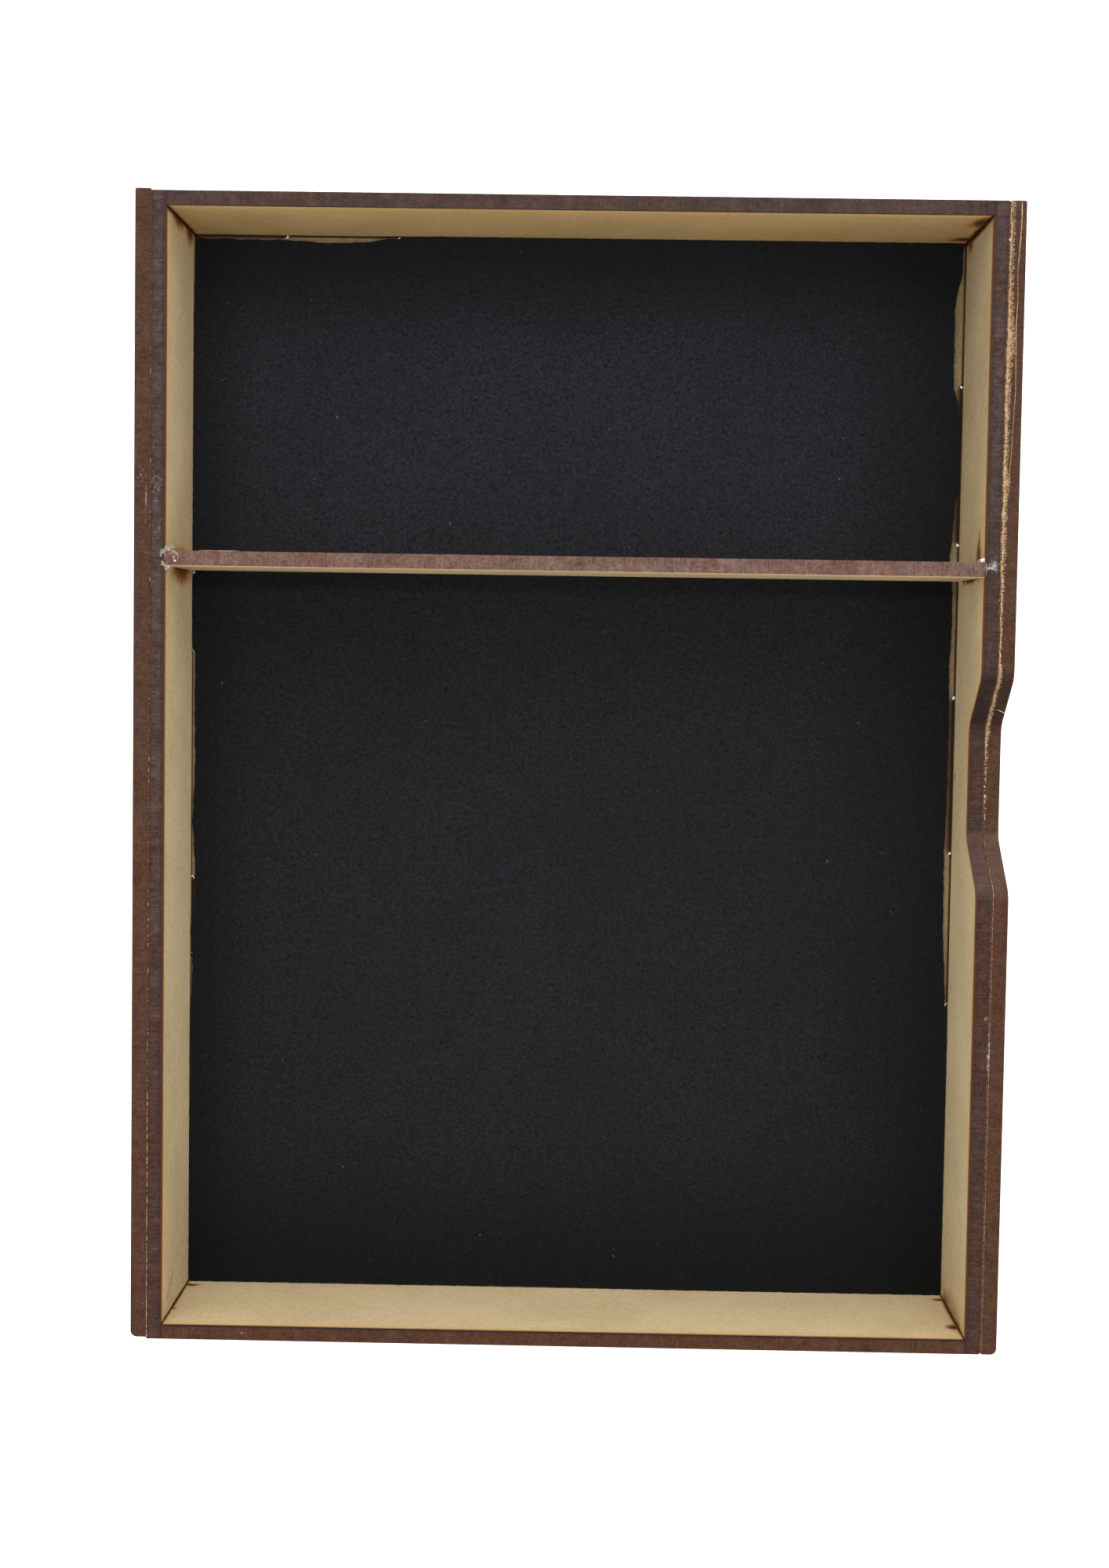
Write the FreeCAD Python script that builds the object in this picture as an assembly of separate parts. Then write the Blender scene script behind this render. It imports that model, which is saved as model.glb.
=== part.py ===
import FreeCAD, Part
import math
import os
from FreeCAD import Vector

# Every board of this dice tray is cut from one sheet by a laser.
# X runs across the tray, Y from its front to its rear, Z up. Lengths are in millimetres.

# Sheet, and the clear space inside the tray
sheet = 3.0
inner_width = 162.5
inner_length = 224.0
tray_height = 36.0

# Joints: the gap that the laser leaves, and the pierced hole at each notch corner of the floor
joint_gap = 0.15
pierce_radius = 0.5
corner_finger_height = 9.0
finger_count = 7
end_finger_shift = -1.9
left_corner_tab = 18.0
left_tab_width = 16.3
left_tab_centre = 32.6

# Facing boards, glued over the side boards
left_glue = 0.25
right_glue = 0.45
glue_setback = 0.5
left_facing_shift = 0.35
front_corner_radius = 1.3
rear_corner_radius = 0.4

# Divider board
divider_centre = 42.8
divider_tab_inset = 9.0

# Finger notch in the right wall
notch_centre = 0.0
notch_depth = 13.5
notch_top_width = 43.0
notch_bottom_width = 23.0
notch_fillet = 4.0

# Felt, cut by hand a little smaller than each compartment
felt_thickness = 1.0
felt_side_gap = 0.5
felt_open_gap = 1.3
felt_end_gap = 0.45

# Dried glue at the divider's ends
drop_radius = 1.45
drop_height = 0.3
drop_offset = 1.2
bead_radius = 0.9
bead_length = 4.0
bead_setback = 0.15

# Places that follow from the sizes above
half_inner_x = inner_width / 2
half_outer_x = half_inner_x + sheet
half_inner_y = inner_length / 2
half_outer_y = half_inner_y + sheet
overcut = 2.0

# The origin is the middle of the tray's underside, glue and facing boards counted
origin_shift = Vector((left_glue - right_glue) / 2, -left_facing_shift / 2, 0)


def block(x, y, z):
    """A box between two values on each axis."""
    return Part.makeBox(x[1] - x[0], y[1] - y[0], z[1] - z[0], Vector(x[0], y[0], z[0]))


def grown(span, by):
    """A span made longer at both of its ends."""
    return (span[0] - by, span[1] + by)


def joined(first, others):
    """One solid from pieces that share faces."""
    return first.fuse(others).removeSplitter()


def write(name, *solids):
    """One file for a node, moved so that the tray stands on its origin."""
    shape = solids[0] if len(solids) == 1 else Part.makeCompound(list(solids))
    shape = shape.copy()
    shape.translate(origin_shift)
    shape.exportStep(f"parts/{name}.step")
    print(f"{name}: {len(shape.Solids)} solid(s), {shape.Volume:.1f} cubic mm, valid {shape.isValid()}")


# Spans that the joints share

def finger_edges(length, shift):
    """Edges of equal fingers along a joint, from one outer face of the tray to the other."""
    pitch = length / finger_count
    inner = [shift + pitch * (k - finger_count / 2) for k in range(1, finger_count)]
    return [-length / 2] + inner + [length / 2]


def every_other(edges, first):
    """Each second span between neighbouring edges."""
    return [(edges[k], edges[k + 1]) for k in range(first, len(edges) - 1, 2)]


right_tabs = every_other(finger_edges(2 * half_outer_y, 0), 1)
left_half_tab = left_tab_width / 2
left_tabs = [(half_outer_y - left_corner_tab, half_outer_y), (-half_outer_y, left_corner_tab - half_outer_y)]
left_tabs += [(side * left_tab_centre - left_half_tab, side * left_tab_centre + left_half_tab) for side in (-1, 1)]
end_tabs = every_other(finger_edges(2 * half_outer_x, end_finger_shift), 0)
# The left side board keeps its own bottom corners, so the first end tab starts inside it
end_tabs[0] = (-half_inner_x, end_tabs[0][1])

floor_z = (0, sheet)
wall_z = (sheet, tray_height)
corner_z = (corner_finger_height, tray_height - corner_finger_height)
divider_tab_z = (divider_tab_inset, tray_height - divider_tab_inset)
divider_y = (divider_centre - sheet / 2, divider_centre + sheet / 2)


def side_x(side, start, end):
    """A span across X at a distance from the middle of the tray, side -1 left or 1 right."""
    return tuple(sorted((side * start, side * end)))


def floor_board():
    """The floor: a plate to the walls' outer faces, notched wherever a wall has a tab."""
    plate = block((-half_outer_x, half_outer_x), (-half_outer_y, half_outer_y), floor_z)
    through = grown(floor_z, overcut)
    cuts = []
    corners = []
    for side, tabs in ((-1, left_tabs), (1, right_tabs)):
        deep = side_x(side, half_inner_x - joint_gap, half_outer_x + overcut)
        for tab in tabs:
            cuts.append(block(deep, grown(tab, joint_gap), through))
            corners += [(side * (half_inner_x - joint_gap), y) for y in grown(tab, joint_gap)]
    for end in (-1, 1):
        deep = side_x(end, half_inner_y - joint_gap, half_outer_y + overcut)
        for tab in end_tabs:
            cuts.append(block(grown(tab, joint_gap), deep, through))
            corners += [(x, end * (half_inner_y - joint_gap)) for x in grown(tab, joint_gap)]
    for x, y in corners:
        if abs(x) < half_inner_x and abs(y) < half_inner_y:
            cuts.append(Part.makeCylinder(pierce_radius, through[1] - through[0], Vector(x, y, through[0])))
    return plate.cut(cuts).removeSplitter()


def side_board(side, tabs):
    """A side board: it runs the whole length, with tabs down through the floor's edge."""
    x = side_x(side, half_inner_x, half_outer_x)
    board = block(x, (-half_outer_y, half_outer_y), wall_z)
    feet = [block(x, tab, floor_z) for tab in tabs]
    board = joined(board, feet)
    wide = grown(x, overcut)
    slots = [block(wide, grown(divider_y, joint_gap), grown(divider_tab_z, joint_gap))]
    for end in (-1, 1):
        y = side_x(end, half_inner_y - joint_gap, half_outer_y + overcut)
        slots.append(block(wide, y, grown(corner_z, joint_gap)))
    return board.cut(slots).removeSplitter()


def end_board(end):
    """An end board: it stands between the side boards, with a tab out through each of them."""
    y = side_x(end, half_inner_y, half_outer_y)
    board = block((-half_inner_x, half_inner_x), y, wall_z)
    tabs = [block((-half_outer_x, half_outer_x), y, corner_z)]
    tabs += [block(tab, y, floor_z) for tab in end_tabs]
    return joined(board, tabs)


def divider_board():
    """The divider: it stands on the floor, with a tab out through each side board."""
    board = block((-half_inner_x, half_inner_x), divider_y, wall_z)
    tab = block((-half_outer_x, half_outer_x), divider_y, divider_tab_z)
    return joined(board, [tab])


def facing_board(side, glue, shift):
    """A plain board over the joints of a side board, its two outer corners rounded."""
    near = half_outer_x + glue
    far = near + sheet
    board = block(side_x(side, near, far), (shift - half_outer_y, shift + half_outer_y), (0, tray_height))
    for end, radius in ((-1, front_corner_radius), (1, rear_corner_radius)):
        foot = Vector(side * far, shift + end * half_outer_y, 0)
        upright = [edge for edge in board.Edges if is_upright_at(edge, foot)]
        board = board.makeFillet(radius, upright)
    return board


def is_upright_at(edge, foot):
    """True for an upright edge that stands on a given point."""
    ends = [vertex.Point for vertex in edge.Vertexes]
    upright = len(ends) == 2 and abs(ends[0].z - ends[1].z) > sheet
    return upright and all(math.hypot(p.x - foot.x, p.y - foot.y) < joint_gap for p in ends)


def notched(board, margin=0.0):
    """A board of the right wall with the finger notch: sloping flanks, all four corners rounded."""
    bottom_z = tray_height - notch_depth
    slope = (notch_top_width - notch_bottom_width) / 2 / notch_depth
    spread = margin * math.hypot(1, slope)
    heights = (bottom_z - margin, tray_height + overcut)
    halves = [notch_bottom_width / 2 + slope * (z - bottom_z) + spread for z in heights]
    box = board.BoundBox
    outline = []
    for z, half, order in ((heights[0], halves[0], (-1, 1)), (heights[1], halves[1], (1, -1))):
        outline += [Vector(box.XMin - overcut, notch_centre + s * half, z) for s in order]
    face = Part.Face(Part.makePolygon(outline + outline[:1]))
    cutter = face.extrude(Vector(box.XLength + 2 * overcut, 0, 0))
    cutter = cutter.makeFillet(notch_fillet, [e for e in cutter.Edges if is_level_at(e, heights[0])])
    board = board.cut(cutter)
    rim = board.BoundBox.ZMax
    lips = [e for e in board.Edges if is_level_at(e, rim) and abs(e.CenterOfMass.y) < half_inner_y / 2]
    return board.makeFillet(notch_fillet, lips)


def is_level_at(edge, z):
    """True for an edge along X at a height."""
    ends = [vertex.Point for vertex in edge.Vertexes]
    along_x = len(ends) == 2 and abs(ends[0].y - ends[1].y) < joint_gap and abs(ends[0].z - ends[1].z) < joint_gap
    return along_x and abs(ends[0].z - z) < joint_gap


def glue_line(side, glue):
    """The glue film between a side board and its facing board, set back from their edges."""
    x = side_x(side, half_outer_x, half_outer_x + glue)
    y = grown((-half_outer_y, half_outer_y), -glue_setback)
    return block(x, y, (glue_setback, tray_height - glue_setback))


def felt(span_y):
    """A felt lining on the floor of one compartment."""
    x = (felt_side_gap - half_inner_x, half_inner_x - felt_open_gap)
    return block(x, grown(span_y, -felt_end_gap), (sheet, sheet + felt_thickness))


def glue_drop(side):
    """A low drop of glue over the end of the divider: a cap of a sphere on its top edge."""
    edge = Vector(drop_radius, 0, 0)
    peak = Vector(0, 0, drop_height)
    ball = (drop_radius ** 2 + drop_height ** 2) / (2 * drop_height)
    half_angle = math.asin(drop_radius / ball) / 2
    middle = Vector(ball * math.sin(half_angle), 0, drop_height - ball * (1 - math.cos(half_angle)))
    curve = Part.Arc(edge, middle, peak).toShape()
    outline = Part.Wire([Part.makeLine(Vector(0, 0, 0), edge), curve, Part.makeLine(peak, Vector(0, 0, 0))])
    cap = Part.Face(outline).revolve(Vector(0, 0, 0), Vector(0, 0, 1), 360)
    cap.translate(Vector(side * (half_inner_x - drop_offset), divider_centre, tray_height))
    return cap


def glue_bead(side, face_y, facing):
    """A round bead of glue down the corner of the divider and a side board, below the rim."""
    corner = Vector(side * half_inner_x, face_y, tray_height - bead_setback - bead_length)
    rod = Part.makeCylinder(bead_radius, bead_length, corner)
    x = side_x(side, half_inner_x - 2 * bead_radius, half_inner_x)
    y = (face_y, face_y + 2 * bead_radius) if facing > 0 else (face_y - 2 * bead_radius, face_y)
    return rod.common(block(x, y, (0, tray_height)))


os.makedirs("parts", exist_ok=True)

write("floor_board", floor_board())
write("left_side_board", side_board(-1, left_tabs))
write("right_side_board", notched(side_board(1, right_tabs)))
write("rear_end_board", end_board(1))
write("front_end_board", end_board(-1))
write("divider_board", divider_board())
write("left_facing_board", facing_board(-1, left_glue, left_facing_shift))
write("right_facing_board", notched(facing_board(1, right_glue, 0)))
write("left_glue_line", glue_line(-1, left_glue))
write("right_glue_line", notched(glue_line(1, right_glue), glue_setback))
write("rear_felt", felt((divider_y[1], half_inner_y)))
write("front_felt", felt((-half_inner_y, divider_y[0])))
write("left_divider_glue", glue_drop(-1), glue_bead(-1, divider_y[1], 1), glue_bead(-1, divider_y[0], -1))
write("right_divider_glue", glue_bead(1, divider_y[1], 1))
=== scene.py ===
# %% [markdown]
# # A dice tray of laser-cut fibreboard
#
# An open tray: four walls with finger joints, each side wall doubled by a facing board, a floor, one
# divider, felt on the floor and a finger notch in the right wall. The boards come from the
# construction model, the fixed frame of this lesson. The lesson gives them their finish and adds what
# is soft or hand made: the felt, the loose fibres, the worn seams and the dried glue.

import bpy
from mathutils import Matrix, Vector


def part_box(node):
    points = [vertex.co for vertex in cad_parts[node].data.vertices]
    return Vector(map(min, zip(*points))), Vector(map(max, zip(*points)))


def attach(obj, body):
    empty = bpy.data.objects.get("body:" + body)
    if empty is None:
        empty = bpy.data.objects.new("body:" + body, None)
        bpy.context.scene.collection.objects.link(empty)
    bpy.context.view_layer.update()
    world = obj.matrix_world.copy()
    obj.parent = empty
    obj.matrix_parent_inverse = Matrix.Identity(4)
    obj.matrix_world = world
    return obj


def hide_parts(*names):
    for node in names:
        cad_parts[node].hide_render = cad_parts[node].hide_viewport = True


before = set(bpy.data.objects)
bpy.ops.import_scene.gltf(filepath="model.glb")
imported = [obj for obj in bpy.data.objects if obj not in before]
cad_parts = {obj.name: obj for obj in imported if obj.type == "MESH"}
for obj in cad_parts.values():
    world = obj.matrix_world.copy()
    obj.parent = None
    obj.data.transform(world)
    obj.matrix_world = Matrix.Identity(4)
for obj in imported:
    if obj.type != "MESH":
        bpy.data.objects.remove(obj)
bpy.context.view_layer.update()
print("nodes of the frame:", sorted(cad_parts))

# %% [markdown]
# Every place in this file follows from the boards, so that a change of the construction model moves
# the looks with it. A board's box gives the faces that matter: the rim, the floor, the inner faces of
# the four walls, the two faces of the divider and the seams of the doubled walls. Only the shape of
# the finger notch can't be read from a box, so its sizes are written here once.

# %% Places read from the boards
import math

import bpy
import numpy as np
from mathutils import Matrix, Vector

MM = 0.001
floor_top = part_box("floor_board")[1].z
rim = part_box("rear_end_board")[1].z
left_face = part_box("left_side_board")[1].x
right_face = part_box("right_side_board")[0].x
left_seam = (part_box("left_facing_board")[1].x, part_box("left_side_board")[0].x)
right_seam = (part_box("right_side_board")[1].x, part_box("right_facing_board")[0].x)
rear_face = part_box("rear_end_board")[0].y
front_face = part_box("front_end_board")[1].y
divider_front, divider_rear = (corner.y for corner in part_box("divider_board"))
divider_middle = (divider_front + divider_rear) / 2
tray_front, tray_rear = (corner.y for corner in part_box("right_facing_board"))
notch_centre = sum(corner.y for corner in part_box("right_side_board")) / 2
notch_depth = 13.5 * MM
notch_half_top = 21.5 * MM
notch_half_bottom = 11.5 * MM
notch_radius = 4 * MM
corner_finger = 9 * MM
rng = np.random.default_rng(11)
print(f"clear space {(right_face - left_face) / MM:.1f} by {(rear_face - front_face) / MM:.1f} mm")

# %% [markdown]
# ## Building material graphs
#
# A material is a graph of nodes. Writing each node by hand takes four lines, so a small helper adds a
# node, feeds its inputs and gives back the socket that the next one needs. That keeps a material
# readable as a list of what happens to the surface.

# %% A helper that builds node graphs


class Graph:
    """Adds nodes to one node tree. A value may be a plain value or another node's socket."""

    def __init__(self, tree):
        self.tree = tree

    def node(self, kind, **settings):
        """A new node with its settings."""
        made = self.tree.nodes.new(kind)
        for name, value in settings.items():
            setattr(made, name, value)
        return made

    def feed(self, socket, value):
        """Links a socket into an input, or sets the input's own value."""
        if isinstance(value, bpy.types.NodeSocket):
            self.tree.links.new(value, socket)
        else:
            socket.default_value = value

    def math(self, operation, *values, clamp=False):
        """One sum on numbers."""
        made = self.node("ShaderNodeMath", operation=operation, use_clamp=clamp)
        for socket, value in zip(made.inputs, values):
            self.feed(socket, value)
        return made.outputs[0]

    def vector(self, operation, *values):
        """One sum on vectors. A length comes out of the second socket."""
        made = self.node("ShaderNodeVectorMath", operation=operation)
        for socket, value in zip(made.inputs, values):
            self.feed(socket, value)
        return made.outputs["Value" if operation == "LENGTH" else "Vector"]

    def ramp(self, value, start, end):
        """0 at start and 1 at end, with a smooth step between. Start may be the larger of the two."""
        made = self.node("ShaderNodeMapRange", interpolation_type="SMOOTHSTEP")
        for name, given in (("Value", value), ("From Min", start), ("From Max", end)):
            self.feed(made.inputs[name], given)
        return made.outputs["Result"]

    def mix(self, share, first, second, blend="MIX"):
        """The first colour, and share of the second."""
        made = self.node("ShaderNodeMix", data_type="RGBA", blend_type=blend)
        for index, given in ((0, share), (6, first), (7, second)):
            self.feed(made.inputs[index], given)
        return made.outputs[2]

    def noise(self, place, scale, detail=2.0, roughness=0.5, distortion=0.0):
        """Cloudy noise from 0 to 1, scale in waves a metre."""
        made = self.node("ShaderNodeTexNoise")
        self.feed(made.inputs["Vector"], place)
        given = {"Scale": scale, "Detail": detail, "Roughness": roughness, "Distortion": distortion}
        for name, value in given.items():
            self.feed(made.inputs[name], value)
        return made.outputs["Fac"]

    def place(self):
        """The point on the piece, in its own frame."""
        return self.node("ShaderNodeTexCoord").outputs["Object"]

    def parts(self, vector):
        """The X, Y and Z of a vector."""
        made = self.node("ShaderNodeSeparateXYZ")
        self.feed(made.inputs[0], vector)
        return list(made.outputs)

    def use(self, group, **inputs):
        """A node group placed with its own values. Underscores in a name stand for spaces."""
        made = self.node("ShaderNodeGroup", node_tree=group)
        for name, value in inputs.items():
            self.feed(made.inputs[name.replace("_", " ")], value)
        return made.outputs

    def bump(self, surface, height, distance):
        """Tilts the surface as if it had this relief, distance being the full height."""
        made = self.node("ShaderNodeBump")
        made.inputs["Distance"].default_value = distance
        self.feed(made.inputs["Height"], height)
        self.feed(surface.inputs["Normal"], made.outputs["Normal"])


def new_group(name, inputs, outputs):
    """An empty shader node group with named sockets, its graph, its input and its output sockets."""
    tree = bpy.data.node_groups.new(name, "ShaderNodeTree")
    kinds = {"color": "NodeSocketColor", "value": "NodeSocketFloat", "vector": "NodeSocketVector"}
    for way, sockets in (("INPUT", inputs), ("OUTPUT", outputs)):
        for socket, kind in sockets.items():
            tree.interface.new_socket(name=socket, in_out=way, socket_type=kinds[kind])
    ends = [tree.nodes.new("NodeGroupInput").outputs, tree.nodes.new("NodeGroupOutput").inputs]
    return tree, Graph(tree), *ends


def new_material(name):
    """A new material, its graph and its surface node."""
    material = bpy.data.materials.new(name)
    material.use_nodes = True
    return material, Graph(material.node_tree), material.node_tree.nodes["Principled BSDF"]


def srgb(red, green, blue):
    """A colour as it looks on screen, from 0 to 255, turned into the linear one that nodes use."""
    return tuple(((c / 255 + 0.055) / 1.055) ** 2.4 for c in (red, green, blue)) + (1.0,)


# %% [markdown]
# ## The boards
#
# Raw fibreboard is pressed wood fibre: a pale tan with clouds a few centimetres wide, a mottle at
# about a millimetre, and single darker fibres. It could be one noise, but the eye reads the three
# sizes apart, so the group adds three. It puts out a colour and a height for the bump.

# %% Raw fibreboard
board_tree, g, inp, out = new_group(
    "raw fibreboard", {"Pale": "color", "Deep": "color"}, {"Color": "color", "Height": "value"}
)
p = g.place()
cloud = g.ramp(g.noise(p, 42, 3, 0.6), 0.35, 0.7)
mottle = g.noise(p, 1000, 5, 0.75)
strand = g.ramp(g.noise(p, 1900, 2, 0.5, 2.5), 0.55, 0.75)
shade = g.math("MULTIPLY_ADD", g.ramp(mottle, 0.3, 0.72), 0.6, g.math("MULTIPLY", cloud, 0.3))
shade = g.math("MULTIPLY_ADD", strand, 0.45, shade, clamp=True)
g.feed(out["Color"], g.mix(shade, inp["Pale"], inp["Deep"]))
g.feed(out["Height"], g.math("MULTIPLY_ADD", mottle, 0.6, g.math("MULTIPLY", strand, 0.4)))
print("group:", board_tree.name)

# %% [markdown]
# The laser leaves a cut edge charred: dark brown, with soft redder patches, a speckle of dark grains
# and pale ash, and fine lines along the beam, which runs through the board's thickness. Squeezing the
# coordinates in that direction draws the noise out into such lines. Grain, mottle and lines multiply
# the colour. Streak says how strong the lines are and Bloom how much grey ash lies on the surface, so
# that one group serves every board.

# %% Charred cut edge
char_tree, g, inp, out = new_group(
    "charred edge",
    {
        "Char": "color",
        "Rust": "color",
        "Ash": "color",
        "Warmth": "value",
        "Bloom": "value",
        "Streak": "value",
        "Beam squeeze": "vector",
    },
    {"Color": "color", "Height": "value"},
)
p = g.place()
line = g.noise(g.vector("MULTIPLY", p, inp["Beam squeeze"]), 2300, 3, 0.8)
patch = g.ramp(g.noise(p, 90, 4, 0.65), 0.4, 0.62)
grain = g.noise(p, 1700, 4, 0.85)
mottle = g.noise(p, 620, 3, 0.6)
fleck = g.ramp(g.noise(p, 3300, 2, 0.6), 0.58, 0.74)
drift = g.ramp(g.noise(p, 260, 4, 0.7), 0.3, 0.68)
warm = g.math("MULTIPLY_ADD", patch, 0.6, g.math("MULTIPLY_ADD", inp["Warmth"], 0.8, -0.2), clamp=True)
colour = g.mix(warm, inp["Char"], inp["Rust"])
colour = g.mix(g.math("MULTIPLY", drift, inp["Bloom"], clamp=True), colour, inp["Ash"])
tone = g.math("MULTIPLY_ADD", g.math("SUBTRACT", grain, 0.5), 2.4, 1.0)
tone = g.math("MULTIPLY_ADD", g.math("SUBTRACT", mottle, 0.5), 1.0, tone)
tick = g.math("SUBTRACT", g.ramp(line, 0.42, 0.68), 0.4)
tone = g.math("MULTIPLY_ADD", tick, inp["Streak"], tone)
colour = g.mix(1.0, colour, g.math("MAXIMUM", tone, 0.4), "MULTIPLY")
colour = g.mix(g.math("MULTIPLY", fleck, 0.5), colour, (1.7, 1.75, 1.8, 1), "MULTIPLY")
g.feed(out["Color"], colour)
g.feed(out["Height"], g.math("MULTIPLY_ADD", line, 0.4, g.math("MULTIPLY", grain, 0.6)))
print("group:", char_tree.name)

# %% [markdown]
# Smoke stains the faces where the beam turned a corner. Each stain is a soft ellipsoid round a point:
# its mask is 1 at the middle and fades to 0 at its reach. The board's own noise comes in as a value
# and breaks up the outline. A second group gives the distance from a board's outline, for the scorched
# border that every laser-cut board has.

# %% Smoke stain and distance from the outline
smoke_tree, g, inp, out = new_group(
    "smoke stain", {"Centre": "vector", "Reach": "vector", "Wander": "value"}, {"Mask": "value"}
)
away = g.vector("DIVIDE", g.vector("SUBTRACT", g.place(), inp["Centre"]), inp["Reach"])
away = g.math("ADD", g.vector("LENGTH", away), inp["Wander"])
g.feed(out["Mask"], g.ramp(away, 1.0, 0.1))

border_tree, g, inp, out = new_group(
    "distance from outline", {"Centre": "vector", "Half": "vector"}, {"Distance": "value"}
)
inward = g.vector("SUBTRACT", inp["Half"], g.vector("ABSOLUTE", g.vector("SUBTRACT", g.place(), inp["Centre"])))
x, y, z = g.parts(inward)
g.feed(out["Distance"], g.math("MINIMUM", g.math("MINIMUM", x, y), z))
print("groups:", smoke_tree.name, "and", border_tree.name)

# %% [markdown]
# The rim of the right wall dips at the finger notch, and its scorched line follows. So the height of
# that edge is written as a function of a, the distance from the notch's middle. It adds three
# stretches that each stay constant outside their own range: the hollow arc at the notch's floor, the
# straight flank, and the round arc at the rim. It is built once for arrays and once for nodes.

# %% Height of the right wall's edge
flank_slope = notch_depth / (notch_half_top - notch_half_bottom)
flank_angle = math.atan(flank_slope)
tangent = notch_radius * math.tan(flank_angle / 2)
hollow_start = notch_half_bottom - tangent
flank_start = hollow_start + notch_radius * math.sin(flank_angle)
round_end = notch_half_top + tangent
flank_end = round_end - notch_radius * math.sin(flank_angle)


def edge_height(y):
    """Height of the right wall's edge at a place along it.

    z = rim - depth + (R - sqrt(R^2 - u^2)) + slope (a - flank start) + (sqrt(R^2 - w^2) - R cos(angle)),
    u and w being how far a is past the hollow's start and short of the round's end, each clamped.
    """
    a = np.abs(y - notch_centre)
    u = np.clip(a, hollow_start, flank_start) - hollow_start
    w = round_end - np.clip(a, flank_end, round_end)
    flank = flank_slope * (np.clip(a, flank_start, flank_end) - flank_start)
    arcs = np.sqrt(notch_radius**2 - w**2) - np.sqrt(notch_radius**2 - u**2)
    return rim - notch_depth + flank + arcs + notch_radius * (1 - math.cos(flank_angle))


notch_tree, g, inp, out = new_group("depth below the right edge", {}, {"Depth": "value"})
x, y, z = g.parts(g.place())
a = g.math("ABSOLUTE", g.math("SUBTRACT", y, notch_centre))


def clamped(value, low, high):
    """The value kept between two limits."""
    return g.math("MINIMUM", g.math("MAXIMUM", value, low), high)


def arc_rise(offset):
    """sqrt(R^2 - offset^2)"""
    squared = g.math("MULTIPLY", offset, offset)
    return g.math("SQRT", g.math("SUBTRACT", notch_radius**2, squared))


u = g.math("SUBTRACT", clamped(a, hollow_start, flank_start), hollow_start)
w = g.math("SUBTRACT", round_end, clamped(a, flank_end, round_end))
level = rim - notch_depth + notch_radius * (1 - math.cos(flank_angle)) - flank_slope * flank_start
edge = g.math("MULTIPLY_ADD", clamped(a, flank_start, flank_end), flank_slope, level)
edge = g.math("SUBTRACT", g.math("ADD", edge, arc_rise(w)), arc_rise(u))
g.feed(out["Depth"], g.math("SUBTRACT", edge, z))
print("edge height, mm:", (edge_height(np.array([0, 0.012, 0.016, 0.0215, 0.03])) / MM).round(2))

# %% [markdown]
# One function makes the finish of any board. Its broad faces are raw fibreboard and all its other
# faces are cut edges, so the surface's own direction tells them apart. Under every outline the beam
# scorched the broad face: a thin line, then a honey-coloured band. The char itself is lighter and
# redder along one arris, where the beam came out, and that arris has its own colour and width. The
# char is redder toward the front and greyer toward the rear, partly a painted sheen of the rear lamp. On
# the side boards the grey ash keeps to the middle of the edge and lessens toward the front, where that
# grey is also partly painted sheen. The notch's front flank is paler and greyer, and its rear flank is
# darker, with no ash.

# %% Board finish
honey = srgb(204, 166, 96)
amber = srgb(176, 118, 50)
scorch = srgb(112, 62, 22)
soot = srgb(40, 24, 12)


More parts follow.
